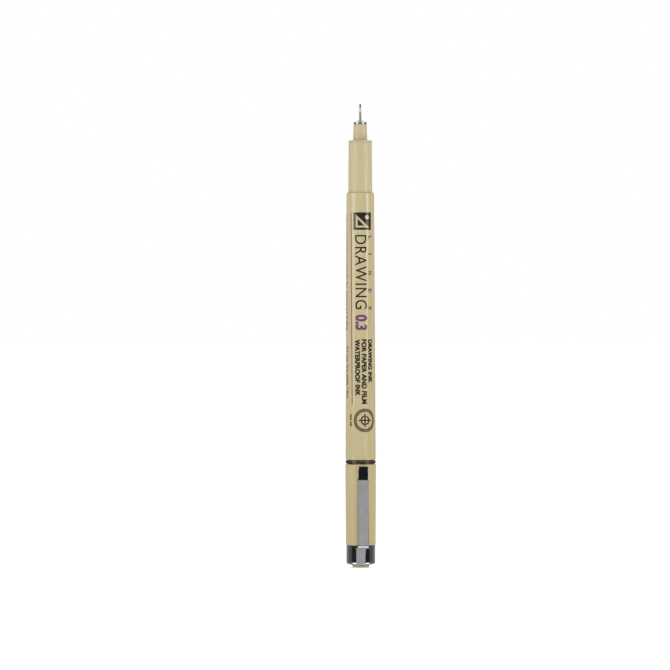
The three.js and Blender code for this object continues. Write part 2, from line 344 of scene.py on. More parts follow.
def make_chrome():
    m, n, b, at = material("chrome_plate", Metallic=1.0)
    wear = n.noise(at, 420, 3, 0.6)
    plate = n.tint(n.step(wear, 0.35, 0.75), (0.60, 0.595, 0.62), (0.66, 0.655, 0.675))
    sep = n.new("ShaderNodeSeparateXYZ")
    n.put(sep.inputs[0], at)
    # painted shade: the band's lower end gets a darker base colour, standing in for a darker reflection at that edge
    end = n.step(sep.outputs[2], (Z_BAND0 + 0.38) * MM, (Z_BAND0 + 0.58) * MM, 1.0, 0.0)
    n.put(b.inputs["Base Color"], n.tint_over(end, plate, (0.37, 0.365, 0.375)))
    hair = n.noise(n.stretched(at, (1.0, 1.0, 0.05)), 3800, 2, 0.6)
    across = n.noise(n.stretched(at, (0.06, 0.06, 1.0)), 3000, 2, 0.6)
    rub = n.math("MULTIPLY", n.step(hair, 0.58, 0.72), n.step(across, 0.35, 0.65))
    n.put(b.inputs["Roughness"], n.math("MULTIPLY_ADD", rub, 0.10, n.step(wear, 0.3, 0.8, 0.045, 0.085)))
    slow = n.bump(n.noise(at, 330, 1, 0.4), 1.5e-6)
    n.put(b.inputs["Normal"], n.bump(rub, 2.0e-7, 1.0, slow))
    return m


chrome_mat = make_chrome()


def make_steel():
    m, n, b, at = material("drawn_steel", Metallic=1.0)
    lines = n.noise(n.stretched(at, (0.05, 0.05, 1.0)), 9000, 2, 0.7)
    cloud = n.noise(at, 900, 2, 0.5)
    low = n.tint(cloud, (0.25, 0.228, 0.188), (0.31, 0.287, 0.24))
    sep = n.new("ShaderNodeSeparateXYZ")
    n.put(sep.inputs[0], at)
    # painted light: the upper end of the sleeve gets a lighter base colour, standing in for the brighter light it shows
    # there
    painted_light_top = n.step(sep.outputs[2], (Z_TUBE - 1.9) * MM, (Z_TUBE - 1.4) * MM)
    n.put(b.inputs["Base Color"], n.tint_over(painted_light_top, low, (0.52, 0.495, 0.435)))
    n.put(b.inputs["Roughness"], n.step(lines, 0.3, 0.7, 0.16, 0.24))
    n.put(b.inputs["Normal"], n.bump(lines, 1.0e-7))
    return m


steel_mat = make_steel()


def make_black(name, colour, rough, speck, depth, ior=1.5):
    m, n, b, at = material(name, IOR=ior)
    # painted reflection: for the ring (ior above 1.6) a warm specular tint stands in for the ivory barrel and cap
    # reflected in it
    b.inputs["Specular Tint"].default_value = (1.0, 0.85, 0.66, 1.0) if ior > 1.6 else (1.0, 1.0, 1.0, 1.0)
    cloud = n.noise(at, 500, 2, 0.5)
    n.put(b.inputs["Base Color"], n.tint(cloud, times(colour, 0.8), times(colour, 1.2)))
    fine = n.noise(at, speck, 2, 0.6)
    n.put(b.inputs["Roughness"], n.step(fine, 0.3, 0.7, rough - 0.05, rough + 0.07))
    n.put(b.inputs["Normal"], n.bump(fine, depth))
    return m


ring_mat = make_black("ring_black", (0.019, 0.0135, 0.0075), 0.085, 1300, 1.4e-6, 1.85)
plug_black = make_black("tail_plug_black", (0.020, 0.018, 0.017), 0.27, 3200, 1.6e-6)
nib_mat = make_black("nib_black", (0.012, 0.010, 0.012), 0.5, 6000, 3e-6, 1.33)


def make_liner():
    m, n, b, at = material("liner_natural", IOR=1.51)
    b.inputs["Subsurface Weight"].default_value = 0.25
    b.inputs["Subsurface Radius"].default_value = (0.9, 0.8, 0.6)
    b.inputs["Subsurface Scale"].default_value = 0.0008
    cloud = n.noise(at, 300, 3, 0.55)
    n.put(b.inputs["Base Color"], n.tint(cloud, (0.70, 0.67, 0.58), (0.80, 0.77, 0.68)))
    n.put(b.inputs["Roughness"], n.step(cloud, 0.3, 0.7, 0.38, 0.5))
    n.put(b.inputs["Normal"], n.bump(n.noise(at, 2500, 2, 0.5), 2e-6))
    return m


liner_mat = make_liner()


def make_fibre():
    m, n, b, at = material("ink_fibre", Roughness=0.85)
    strands = n.noise(n.stretched(at, (1.0, 1.0, 0.03)), 5200, 4, 0.65)
    soak = n.noise(at, 160, 2, 0.5)
    mixed = n.math("MULTIPLY_ADD", strands, 0.7, n.math("MULTIPLY", soak, 0.3))
    n.put(b.inputs["Base Color"], n.tint(n.step(mixed, 0.35, 0.65), (0.008, 0.009, 0.014), (0.05, 0.05, 0.07)))
    n.put(b.inputs["Normal"], n.bump(strands, 2.5e-5))
    return m


fibre_mat = make_fibre()


def make_film():
    m, n, b, at = material("wrap_film", IOR=1.49)
    crease = n.noise(n.stretched(at, (1.0, 1.0, 0.25)), 700, 3, 0.6, 0.4)
    n.put(b.inputs["Base Color"], n.tint(crease, (0.62, 0.63, 0.64), (0.78, 0.78, 0.77)))
    n.put(b.inputs["Roughness"], n.step(crease, 0.3, 0.7, 0.14, 0.26))
    n.put(b.inputs["Normal"], n.bump(crease, 8e-6))
    return m


film_mat = make_film()


def make_ink(name, colour, rough=0.16):
    """Printed ink: a thin even film with slightly starved patches, as glossy as the barrel."""
    m, n, b, at = material(name, IOR=1.5)
    patch = n.noise(at, 1400, 2, 0.6)
    light = tuple(min(1.0, c * 1.25 + 0.006) for c in colour)
    n.put(b.inputs["Base Color"], n.tint(n.step(patch, 0.45, 0.8), colour, light))
    n.put(b.inputs["Roughness"], n.step(patch, 0.3, 0.8, rough - 0.03, rough + 0.05))
    n.put(b.inputs["Normal"], n.bump(n.noise(at, 620, 1, 0.4), 1.6e-6))
    return m


ink_black = make_ink("print_black", srgb(30, 24, 15))
ink_purple = make_ink("print_purple", srgb(112, 56, 104))
ink_brown = make_ink("print_grey_brown", srgb(84, 73, 54))

# ---------------------------------------------------------------- barrel
stands_for(
    turned(
        "barrel_shell",
        [
            (R_REAR - 0.3, Z_REAR, 0.14),
            (R_REAR - 0.07, Z_REAR + 0.14, 0.3),
            (R_REAR - 0.0, Z_REAR + 0.62, 1.2),
            (R_FRONT, Z_FRONT, 0.46),
            (R_BORE + 0.1, Z_FRONT, 0.05),
            (R_BORE, Z_FRONT - 0.3, 0.1),
            (R_BORE, Z_REAR + 0.3, 0.1),
            (R_BORE + 0.1, Z_REAR, 0.05),
        ],
        segs=192,
        steps=8,
    ),
    "barrel",
    "pen",
    barrel_mat,
)

# ---------------------------------------------------------------- grip sleeve, with its gate mark
GATE = (0.03, 121.8)  # azimuth from the front, level


def gate_push(a, r, z):
    if r < 3.5 or abs(z - GATE[1]) > 1.2:
        return r, z
    d = (a - GATE[0] + math.pi) % (2 * math.pi) - math.pi
    t = math.hypot(d * r, z - GATE[1])
    dip = 0.17 * max(0.0, 1 - (t / 0.33) ** 2) ** 0.5 if t < 0.33 else 0.0
    lip = 0.02 * math.exp(-(((t - 0.46) / 0.09) ** 2))
    return r - dip + lip, z


def sleeve_line():
    line = rounded(
        [
            (R_BORE - 0.35, 108.0, 0.05),
            (R_BORE - 0.05, 108.6, 0.2),
            (R_BORE - 0.05, Z_FRONT + 0.02, 0.0),
            (3.79, Z_FRONT + 0.02, 0.03),
            (3.745, 122.5, 1.0),
            (3.66, Z_SLEEVE, 0.1),
            (2.95, Z_SLEEVE, 0.04),
            (2.95, 108.0, 0.04),
        ],
        True,
        6,
    )
    # rows close together round the gate mark, to carry its shape
    out = []
    for i, p in enumerate(line):
        q = line[(i + 1) % len(line)]
        out.append(p)
        if p[0] > 3.6 and q[0] > 3.6 and q[1] > p[1] + 0.2:
            lo, hi = max(p[1], GATE[1] - 0.7), min(q[1], GATE[1] + 0.7)
            z = math.ceil(lo / 0.04) * 0.04
            while z < hi:
                if p[1] + 0.01 < z < q[1] - 0.01:
                    t = (z - p[1]) / (q[1] - p[1])
                    out.append((p[0] + (q[0] - p[0]) * t, z))
                z += 0.04
    return out


stands_for(
    lathe("grip_section", sleeve_line(), True, 360, gate_push),
    "grip_sleeve",
    "pen",
    satin_mat,
)

# ---------------------------------------------------------------- nose piece
stands_for(
    turned(
        "nose_cone",
        [
            (2.3, 121.6, 0.05),
            (2.9, 122.2, 0.1),
            (2.9, Z_SLEEVE + 0.04, 0.0),
            (3.69, Z_SLEEVE + 0.04, 0.03),
            (3.74, 134.08, 0.05),
            (3.74, 134.4, 0.15),
            (2.23, 134.4, 0.1),
            (2.17, 137.2, 2.0),
            (2.11, Z_NOSE - 0.45, 0.5),
            (2.05, Z_NOSE, 0.04),
            (1.42, Z_NOSE, 0.03),
            (1.42, 135.5, 0.0),
            (1.62, 135.5, 0.0),
            (1.62, 121.6, 0.05),
        ],
        segs=144,
        steps=6,
    ),
    "nose_piece",
    "pen",
    satin_mat,
)

# ---------------------------------------------------------------- nib parts
stands_for(
    turned(
        "nib_collar",
        [
            (1.38, 135.5, 0.05),
            (1.38, Z_NOSE + 0.02, 0.0),
            (2.045, Z_NOSE + 0.02, 0.04),
            (2.09, Z_NOSE + 0.32, 0.06),
            (2.10, Z_NOSE + 0.62, 0.2),
            (1.3, Z_NOSE + 0.9, 0.8),
            (0.74, Z_FERRULE - 0.16, 0.3),
            (0.55, Z_FERRULE, 0.05),
            (0.4, Z_FERRULE, 0.03),
            (0.4, 135.5, 0.0),
        ],
        segs=96,
        steps=8,
    ),
    "nib_ferrule",
    "pen",
    chrome_mat,
)
stands_for(
    turned(
        "nib_sleeve",
        [
            (0.37, 133.9, 0.02),
            (0.37, Z_TUBE - 0.28, 0.3),
            (0.335, Z_TUBE, 0.03),
            (0.29, Z_TUBE, 0.0),
            (0.29, 133.9, 0.0),
        ],
        segs=48,
        steps=6,
    ),
    "nib_tube",
    "pen",
    steel_mat,
)
stands_for(
    turned(
        "nib_point",
        [
            (0.0, 133.56),
            (0.26, 133.56, 0.02),
            (0.26, Z_NIB - 0.42, 0.25),
            (0.19, Z_NIB - 0.08, 0.12),
            (0.0, Z_NIB),
        ],
        closed=False,
        segs=48,
        steps=7,
    ),
    "nib_core",
    "pen",
    nib_mat,
)
stands_for(
    turned(
        "nib_bush",
        [
            (1.5, 126.0, 0.03),
            (1.58, 126.2, 0.05),
            (1.58, 135.42, 0.05),
            (0.41, 135.42, 0.03),
            (0.41, 133.75, 0.0),
            (1.04, 133.6, 0.1),
            (1.04, 126.0, 0.04),
        ],
        segs=72,
    ),
    "nib_holder",
    "pen",
    liner_mat,
)
stands_for(
    turned(
        "feed_rod",
        [
            (0.0, 98.0),
            (0.55, 98.0, 0.1),
            (1.0, 99.0, 0.3),
            (1.0, 132.9, 0.2),
            (0.6, 133.5, 0.1),
            (0.0, 133.5),
        ],
        closed=False,
        segs=72,
    ),
    "ink_feed",
    "pen",
    fibre_mat,
)
stands_for(
    turned(
        "ink_rod",
        [
            (0.0, 38.2),
            (3.2, 38.2, 0.15),
            (3.2, 107.4, 0.15),
            (1.04, 107.4, 0.1),
            (1.04, 97.95, 0.1),
            (0.0, 97.95),
        ],
        closed=False,
        segs=96,
    ),
    "reservoir_fibre",
    "pen",
    fibre_mat,
)
stands_for(
    turned(
        "ink_rod_film",
        [
            (3.35, 38.2, 0.03),
            (3.35, 107.4, 0.03),
            (3.23, 107.4, 0.03),
            (3.23, 38.2, 0.03),
        ],
        segs=96,
    ),
    "reservoir_film",
    "pen",
    film_mat,
)

# ---------------------------------------------------------------- tail plug and ring
stands_for(
    turned(
        "tail_boss",
        [
            (0.0, Z_BOSS),
            (3.3, Z_BOSS, 0.2),
            (3.78, Z_BOSS + 1.1, 0.8),
            (3.88, Z_BOSS + 5, 4.0),
            (3.88, Z_RING0 - 0.12, 0.08),
            (3.66, Z_RING0 - 0.04, 0.03),
            (3.66, Z_REAR - 0.02, 0.0),
            (R_BORE - 0.05, Z_REAR - 0.02, 0.02),
            (R_BORE - 0.05, Z_REAR + 3.5, 0.2),
            (R_BORE - 0.35, Z_REAR + 4.0, 0.1),
            (2.7, Z_REAR + 4.0, 0.05),
            (2.6, Z_REAR, 0.3),
            (2.6, Z_BOSS + 1.6, 0.4),
            (0.0, Z_BOSS + 1.4),
        ],
        closed=False,
        segs=144,
        steps=7,
    ),
    "tail_plug",
    "pen",
    plug_black,
)
stands_for(
    turned(
        "tail_band",
        [
            (4.74, Z_RING0, 0.42),
            (4.74, Z_RING1, 0.42),
            (3.74, Z_RING1, 0.12),
            (3.74, Z_RING0, 0.12),
        ],
        segs=192,
        steps=8,
    ),
    "tail_ring",
    "ring",
    ring_mat,
)

# ---------------------------------------------------------------- cap
stands_for(
    turned(
        "cap_casing",
        [
            (3.96, 1.9, 0.04),
            (4.2, 2.1, 0.05),
            (4.2, Z_BAND1 + 0.04, 0.0),
            (4.68, Z_BAND1 + 0.04, 0.13),
            (4.735, 17.5, 20.0),
            (4.775, 26.0, 20.0),
            (4.825, Z_MOUTH, 0.3),
            (4.1, Z_MOUTH, 0.08),
            (3.95, Z_MOUTH - 0.4, 0.15),
            (3.95, 16.0, 0.0),
            (3.68, 15.95, 0.0),
            (3.68, 1.9, 0.04),
        ],
        segs=192,
        steps=7,
    ),
    "cap_shell",
    "cap",
    cap_mat,
)
stands_for(
    turned(
        "cap_liner",
        [
            (0.0, 1.92),
            (3.5, 1.92, 0.1),
            (3.65, 2.1, 0.1),
            (3.65, 15.9, 0.1),
            (3.3, 15.9, 0.12),
            (2.38, 14.9, 0.3),
            (2.28, 14.5, 0.4),
            (2.28, 13.2, 0.3),
            (3.0, 12.2, 0.3),
            (3.0, 4.1, 0.3),
            (2.5, 3.6, 0.2),
            (0.0, 3.6),
        ],
        closed=False,
        segs=144,
        steps=6,
    ),
    "inner_cap",
    "cap",
    liner_mat,
)
stands_for(
    turned(
        "crown_button",
        [
            (0.0, 0.0),
            (2.52, 0.0, 0.04),
            (2.65, 0.16, 0.12),
            (2.65, 1.04, 0.0),
            (3.5, 1.34, 0.05),
            (3.5, 1.84, 0.05),
            (0.0, 1.84),
        ],
        closed=False,
        segs=144,
        steps=6,
    ),
    "crown_plug",
    "cap",
    plug_mat,
)


# ---------------------------------------------------------------- clip band
R_BAND, WALL = 4.54, 0.28
NOTCH_Z, NOTCH_H, NOTCH_C = 6.2, 2.65, 0.35
STRIP_H = 1.71


def ease(t):
    t = max(0.0, min(1.0, t))
    return t * t * (3 - 2 * t)


def band_edge():
    """Columns round the band: (arc length from the clip's centre, height of the edge)."""
    top, low, c = Z_BAND1, NOTCH_Z, NOTCH_C
    side = [(x, low) for x in [0.12 * k for k in range(0, 20)] if x < NOTCH_H - c - 0.02]
    for k in range(9):  # round inner corner
        t = math.pi / 2 * k / 8
        side.append((NOTCH_H - c + c * math.sin(t), low + c - c * math.cos(t)))
    cc = 0.22
    for k in range(9):  # round outer corner
        t = math.pi / 2 * k / 8
        side.append((NOTCH_H + 0.012 + cc - cc * math.cos(t), top - cc + cc * math.sin(t)))
    x = side[-1][0]
    end = math.pi * R_BAND
    n = 60
    side += [(x + (end - x) * k / n, top) for k in range(1, n)]
    left = [(-x, z) for x, z in reversed(side[1:])]
    return left + side + [(end, top)]


def band_push(s, r, z):
    """The wall is drawn out a little under one side of the clip's root."""
    a = s / R_BAND
    t = r * math.sin(a)
    if abs(a) > 1.2:
        return r
    down = ease((z - 3.2) / (NOTCH_Z - 3.2))
    return r + 0.035 * math.exp(-(((t - 1.4) / 0.8) ** 2)) * down


def make_band():
    cols = band_edge()
    verts, faces, rows = [], [], []
    for s, top in cols:
        a = s / R_BAND + CLIP_AZ
        corners = [
            (2.71, Z_BAND0 + WALL, 0.04),
            (2.71, Z_BAND0, 0.05),
            (3.5, Z_BAND0 + 0.22, 1.0),
            (R_BAND, Z_BAND0 + 0.51, 0.62),
            (R_BAND, Z_BAND0 + 1.3, 0.3),
            (R_BAND, top, 0.055),
            (R_BAND - WALL, top, 0.055),
            (R_BAND - WALL, Z_BAND0 + 1.25, 0.1),
            (R_BAND - WALL, Z_BAND0 + 0.71, 0.15),
            (3.5, Z_BAND0 + 0.5, 0.1),
        ]
        line = band_line(corners, top)
        row = []
        for r, z in line:
            rr = band_push(s, r, z) if z > 3.0 else r
            row.append(len(verts))
            verts.append((rr * math.sin(a), -rr * math.cos(a), z))
        rows.append(row)
    n = len(rows)
    m = len(rows[0])
    for i in range(n):
        a, b = rows[i], rows[(i + 1) % n]
        for j in range(m):
            k = (j + 1) % m
            faces.append([a[j], b[j], b[k], a[k]])
    return mesh_object("clip_collar", verts, faces, sharp=45)


def band_line(corners, top):
    """The same number of points in each column, whatever the height of its edge."""
    base = rounded(corners[:5], False, 7)
    rim = []
    f = 0.055
    for k in range(5):
        t = math.pi / 2 * k / 4
        rim.append((R_BAND - f + f * math.cos(t), top - f + f * math.sin(t)))
    for k in range(5):
        t = math.pi / 2 * k / 4
        rim.append((R_BAND - WALL + f - f * math.sin(t), top - f + f * math.cos(t)))
    inner = rounded(corners[7:], False, 5)
    z0, z1 = base[-1][1], rim[0][1]
    up = [(R_BAND, z0 + (z1 - z0) * k / 16) for k in range(1, 16)]
    up.append((R_BAND, z1 - 0.03))
    z2 = inner[0][1]
    down = [(R_BAND - WALL, z1 - 0.03)]
    down += [(R_BAND - WALL, z1 + (z2 - z1) * k / 16) for k in range(1, 16)]
    return base + up + rim + down + inner


stands_for(make_band(), "clip_band", "cap", chrome_mat)


# ---------------------------------------------------------------- clip arm
def spline(points, per=10):
    """Catmull-Rom through the points"""
    out = []
    p = [Vector(q) for q in points]
    p = [p[0] * 2 - p[1]] + p + [p[-1] * 2 - p[-2]]
    for i in range(1, len(p) - 2):
        a, b, c, d = p[i - 1 : i + 3]
        for k in range(per):
            t = k / per
            out.append(
                0.5
                * (
                    2 * b
                    + (c - a) * t
                    + (2 * a - 5 * b + 4 * c - d) * t * t
                    + (3 * b - a - 3 * c + d) * t * t * t
                )
            )
    out.append(p[-2])
    return out


def make_clip():
    thick = 0.38
    foot = rounded([(4.33, 6.12), (4.33, 6.36, 0.2), (5.12, 6.46, 0.3), (5.68, 7.02, 0.24), (5.68, 8.6)], False, 8)
    path = [Vector(p) for p in foot[:-1] if p[1] < 8.3] + spline(
        [
            (5.68, 8.6),
            (5.54, 13.0),
            (5.385, 18.0),
            (5.245, 22.5),
            (5.125, 26.0),
            (5.10, 26.9),
            (5.125, 27.65),
            (5.22, 28.5),
            (5.42, 29.8),
            (5.74, 31.9),
        ],
        8,
    )
    end = path[-1].y
    verts, faces, rows = [], [], []
    f = 0.16
    for i, p in enumerate(path):
        a, b = path[max(0, i - 1)], path[min(len(path) - 1, i + 1)]
        t = (b - a).normalized()
        n = Vector((t.y, -t.x))  # away from the axis
        h = STRIP_H
        h -= 0.09 * ease((p.y - 29.3) / 2.0)
        left = end - p.y
        if left < 0.22:
            h -= 0.22 - math.sqrt(max(0.0, 0.0484 - (0.22 - left) ** 2))
        h = max(h, 0.35)
        section = []
        k = 5
        for cx, cy, a0 in (
            (h - f, thick / 2 - f, 0.0),
            (-h + f, thick / 2 - f, math.pi / 2),
            (-h + f, -thick / 2 + f, math.pi),
            (h - f, -thick / 2 + f, 1.5 * math.pi),
        ):
            for j in range(k + 1):
                w = a0 + math.pi / 2 * j / k
                section.append((cx + f * math.cos(w), cy + f * math.sin(w)))
            if a0 in (0.0, math.pi):  # support points across the faces
                sgn = 1 if a0 == 0.0 else -1
                for q in (0.96, 0.5, 0.0, -0.5, -0.96):
                    section.append((sgn * (h - f) * q, sgn * thick / 2))
        row = []
        for x, y in section:
            r, z = p.x + n.x * y, p.y + n.y * y
            row.append(len(verts))
            verts.append((x, -r, z))
        rows.append(row)
    m = len(rows[0])
    for a, b in zip(rows, rows[1:]):
        for j in range(m):
            k = (j + 1) % m
            faces.append([a[j], a[k], b[k], b[j]])
    # the ends: each end row is closed with a single face
    for row, sign in ((rows[0], -1), (rows[-1], 1)):
        prev = row
        c = Vector((0, 0, 0))
        for v in row:
            c += Vector(verts[v])
        c /= m
        faces.append(list(prev) if sign > 0 else list(reversed(prev)))
    ca, sa = math.cos(CLIP_AZ), math.sin(CLIP_AZ)
    verts = [(x * ca - y * sa, x * sa + y * ca, z) for x, y, z in verts]
    return mesh_object("clip_spring", verts, faces, sharp=50)


clip = make_clip()
clip.data.materials.append(chrome_mat)
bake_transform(clip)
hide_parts("clip_arm")


# ---------------------------------------------------------------- printing on the barrel
# A print is a thin closed film laid round the barrel: u is the arc length to the right of
# the front, v the level.
FILM, SUNK = 0.010, 0.006
SKEW = 0.007


def flat_mesh(curve_object):
    dg = bpy.context.evaluated_depsgraph_get()
    me = bpy.data.meshes.new_from_object(curve_object.evaluated_get(dg))
    bm = bmesh.new()
    bm.from_mesh(me)
    bpy.data.meshes.remove(me)
    data = curve_object.data
    bpy.data.objects.remove(curve_object)
    bpy.data.curves.remove(data)
    bmesh.ops.remove_doubles(bm, verts=bm.verts, dist=1e-5)
    bmesh.ops.dissolve_degenerate(bm, dist=1e-6, edges=bm.edges)
    return bm


def wrap(bm, name, mat, cell=0.22):
    """bm lies in the plane with x = u and y = v, in millimetres."""
    xs = [v.co.x for v in bm.verts]
    lo, hi = min(xs), max(xs)
    k = math.floor(lo / cell) + 1
    while k * cell < hi:
        bmesh.ops.bisect_plane(
            bm,
            geom=bm.verts[:] + bm.edges[:] + bm.faces[:],
            dist=1e-6,
            plane_co=(k * cell, 0, 0),
            plane_no=(1, 0, 0),
        )
        k += 1
    bmesh.ops.triangulate(bm, faces=bm.faces)
    bm.verts.ensure_lookup_table()
    bm.normal_update()
    for f in bm.faces:
        if f.normal.z < 0:
            f.normal_flip()
    count = len(bm.verts)
    verts = []
    for lift in (FILM, -SUNK):
        for v in bm.verts:
            z = v.co.y
            r = barrel_r(z)
            a = v.co.x / r
            rr = r + lift
            verts.append((rr * math.sin(a), -rr * math.cos(a), z))
    faces = []
    for f in bm.faces:
        ids = [v.index for v in f.verts]
        faces.append(ids)
        faces.append([i + count for i in reversed(ids)])
    for e in bm.edges:
        if len(e.link_faces) == 1:
            loop = next(l for l in e.link_faces[0].loops if l.edge == e)
            i, j = loop.vert.index, loop.link_loop_next.vert.index
            faces.append([j, i, i + count, j + count])
    bm.free()
    me = bpy.data.meshes.new(name)
    me.from_pydata([(x * MM, y * MM, z * MM) for x, y, z in verts], [], faces)
    me.polygons.foreach_set("use_smooth", [True] * len(me.polygons))
    me.set_sharp_from_angle(angle=math.radians(40))
    ob = bpy.data.objects.new(name, me)
    scene.collection.objects.link(ob)
    ob.data.materials.append(mat)
    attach(ob, "pen")
    return ob


def lettering(name, text, mat, u0, u1, z0, z1, bold=0.0, space=1.0, word=1.0, ref=None, heavy=0.0, res=4):
    """text reads down the barrel from z0 to z1, its letters standing from u0 to u1.
    ref is the text whose height u0 to u1 is, where text has letters that hang or rise.
    heavy thickens the strokes by that much on each side, by printing them five times."""
    def bm_of(t):
        c = bpy.data.curves.new(name, "FONT")
        c.body = t
        c.fill_mode = "BOTH"
        c.resolution_u = res
        c.offset = bold
        c.space_character = space
        c.space_word = word
        o = bpy.data.objects.new(name + "_flat", c)
        scene.collection.objects.link(o)
        bpy.context.view_layer.update()
        return flat_mesh(o)

    bm = bm_of(text)
    y0, y1 = min(v.co.y for v in bm.verts), max(v.co.y for v in bm.verts)
    if ref:
        other = bm_of(ref)
        y0, y1 = min(v.co.y for v in other.verts), max(v.co.y for v in other.verts)
        other.free()
    x0, x1 = min(v.co.x for v in bm.verts), max(v.co.x for v in bm.verts)
    u0, u1, z0, z1 = u0 + heavy, u1 - heavy, z0 - heavy, z1 + heavy
    for v in bm.verts:
        along = (v.co.x - x0) / (x1 - x0)
        up = (v.co.y - y0) / (y1 - y0)
        z = z0 + (z1 - z0) * along
        v.co = Vector((u0 + (u1 - u0) * up + SKEW * ((z0 + z1) / 2 - z), z, 0))
    if heavy:
        bm = thickened(bm, heavy)
    return wrap(bm, name, mat)


def thickened(bm, by):
    """The flat letters laid over one another five times, a little apart, as one outline."""
    bm.verts.index_update()
    flat = [v.co.xy for v in bm.verts]
    tris = [[v.index for v in f.verts] for f in bm.faces]
    bm.free()
    points, faces = [], []
    for du, dz in ((0, 0), (by, by), (-by, by), (by, -by), (-by, -by)):
        n = len(points)
        points += [p + Vector((du * 0.8, dz * 0.8)) for p in flat]
        faces += [[i + n for i in t] for t in tris]
    under = BVHTree.FromPolygons([(p.x, p.y, 0) for p in points], faces)
    verts, _, cells, _, _, _ = delaunay_2d_cdt(points, [], faces, 1, 1e-5)
    out = bmesh.new()
    made = [out.verts.new((p.x, p.y, 0)) for p in verts]
    for c in cells:
        mid = sum((verts[i] for i in c), Vector((0, 0))) / len(c)
        if under.ray_cast(Vector((mid.x, mid.y, 1)), Vector((0, 0, -1)))[0] is not None:
            out.faces.new([made[i] for i in c])
    bmesh.ops.dissolve_limit(out, angle_limit=0.02, verts=out.verts, edges=out.edges)
    loose = [v for v in out.verts if not v.link_faces]
    bmesh.ops.delete(out, geom=loose, context="VERTS")
    bmesh.ops.triangulate(out, faces=out.faces)
    return out


def shape(name, loops, mat):
    """Closed loops of (u, v) points, filled where an odd number of them surround."""
    c = bpy.data.curves.new(name, "CURVE")
    c.dimensions = "2D"
    c.fill_mode = "BOTH"
    for loop in loops:
        s = c.splines.new("POLY")
        s.points.add(len(loop) - 1)
        for p, (u, v) in zip(s.points, loop):
            p.co = (u, v, 0, 1)
        s.use_cyclic_u = True
    o = bpy.data.objects.new(name + "_flat", c)
    scene.collection.objects.link(o)
    bpy.context.view_layer.update()
    return wrap(flat_mesh(o), name, mat)


def circle(u, v, r, n=72):
    return [(u + r * math.cos(2 * math.pi * k / n), v + r * math.sin(2 * math.pi * k / n)) for k in range(n)]


def box_loop(u0, u1, v0, v1):
    return [(u0, v0), (u1, v0), (u1, v1), (u0, v1)]


# square with a set square left clear in it
su0, su1, sv0, sv1 = -2.28, 3.70, 106.2, 111.7
shape(
    "print_square",
    [
        box_loop(su0, su1, sv0, sv1),
        [(su0 + 0.75, sv0 + 0.7), (su1 - 0.75, sv0 + 0.7), (su0 + 0.75, sv1 - 0.6)],
        [(su0 + 1.45, sv0 + 1.35), (su1 - 2.45, sv0 + 1.35), (su0 + 1.45, sv1 - 2.1)],
        circle(su1 - 1.55, sv1 - 1.5, 0.72, 40),
    ],
    ink_black,
)
lettering("print_word", "DRAWING", ink_black, -1.72, 2.05, 104.6, 81.3, bold=0.004, space=1.12, res=10)
for k, letter in enumerate("LINER"):
    z = 104.4 - 5.55 * k
    wide = 0.45 if letter == "I" else 1.2
    lettering(f"print_small_{k}", letter, ink_purple, 2.6, 3.98, z, z - wide, heavy=0.08)
lettering("print_width", "0.3", ink_purple, -1.66, 2.18, 79.6, 74.7, bold=0.046, space=1.0, res=10)
lettering("print_line_a", "DRAWING INK", ink_black, 2.45, 4.12, 71.8, 58.2, bold=0.012, space=1.04, heavy=0.11)
lettering("print_line_b", "FOR PAPER AND FILM", ink_black, 0.28, 2.04, 71.9, 51.5, bold=0.012, space=1.04, heavy=0.11)
lettering("print_line_c", "WATERPROOF INK", ink_black, -1.82, -0.14, 71.8, 54.1, bold=0.012, space=1.04, heavy=0.11)
shape(
    "print_rule",
    [[(-3.33, 111.7), (-3.05, 111.7), (-2.69, 51.4), (-2.97, 51.4)]],
    ink_purple,
)
lettering(
    "print_side_a", "waterproof and fade proof ink for fine drawing and drafting", ink_black,
    -6.2, -5.1, 111.6, 74.7, bold=0.045, ref="H", res=2,
)
lettering("print_side_b", "0.3 mm", ink_purple, -5.75, -4.6, 69.7, 64.6, bold=0.042, ref="H", res=3)
lettering("print_side_c", "line width / fine", ink_brown, -5.7, -4.55, 63.9, 53.3, bold=0.042, ref="H", res=3)

# dial: a dark ring with fine divisions left clear, and a centring mark
du, dv = 1.4, 46.37
loops = [circle(du, dv, 3.7, 120), circle(du, dv, 2.68, 96)]
for k in range(48):
    a = 2 * math.pi * (k + 0.5) / 48
    long = k % 4 == 0
    r0, r1, w = (2.9 if long else 3.05), 3.42, 0.045
    ca, sa = math.cos(a), math.sin(a)
    loops.append(
        [
            (du + r0 * ca - w * sa, dv + r0 * sa + w * ca),
            (du + r0 * ca + w * sa, dv + r0 * sa - w * ca),
            (du + r1 * ca + w * sa, dv + r1 * sa - w * ca),
            (du + r1 * ca - w * sa, dv + r1 * sa + w * ca),
        ]
    )
shape("print_dial", loops, ink_brown)
h, w = 2.05, 0.24
shape(
    "print_centre",
    [
        [
            (du - h, dv - w), (du - w, dv - w), (du - w, dv - h), (du + w, dv - h),
            (du + w, dv - w), (du + h, dv - w), (du + h, dv + w), (du + w, dv + w),
            (du + w, dv + h), (du - w, dv + h), (du - w, dv + w), (du - h, dv + w),
        ],
    ],
    ink_black,
)
for name, a0 in (("print_arc_a", 0.0), ("print_arc_b", 0.5), ("print_arc_c", 1.0), ("print_arc_d", 1.5)):
    s, e = (a0 * math.pi + 0.24), ((a0 + 0.5) * math.pi - 0.24)
    n = 14
    outer = [(du + 1.5 * math.cos(s + (e - s) * k / n), dv + 1.5 * math.sin(s + (e - s) * k / n)) for k in range(n + 1)]
    inner = [(du + 1.05 * math.cos(s + (e - s) * k / n), dv + 1.05 * math.sin(s + (e - s) * k / n)) for k in range(n, -1, -1)]
    shape(name, [outer + inner], ink_black)
lettering("print_small_strip", "FINE LINE", ink_black, -3.72, -3.0, 48.3, 44.5, heavy=0.06, res=3)


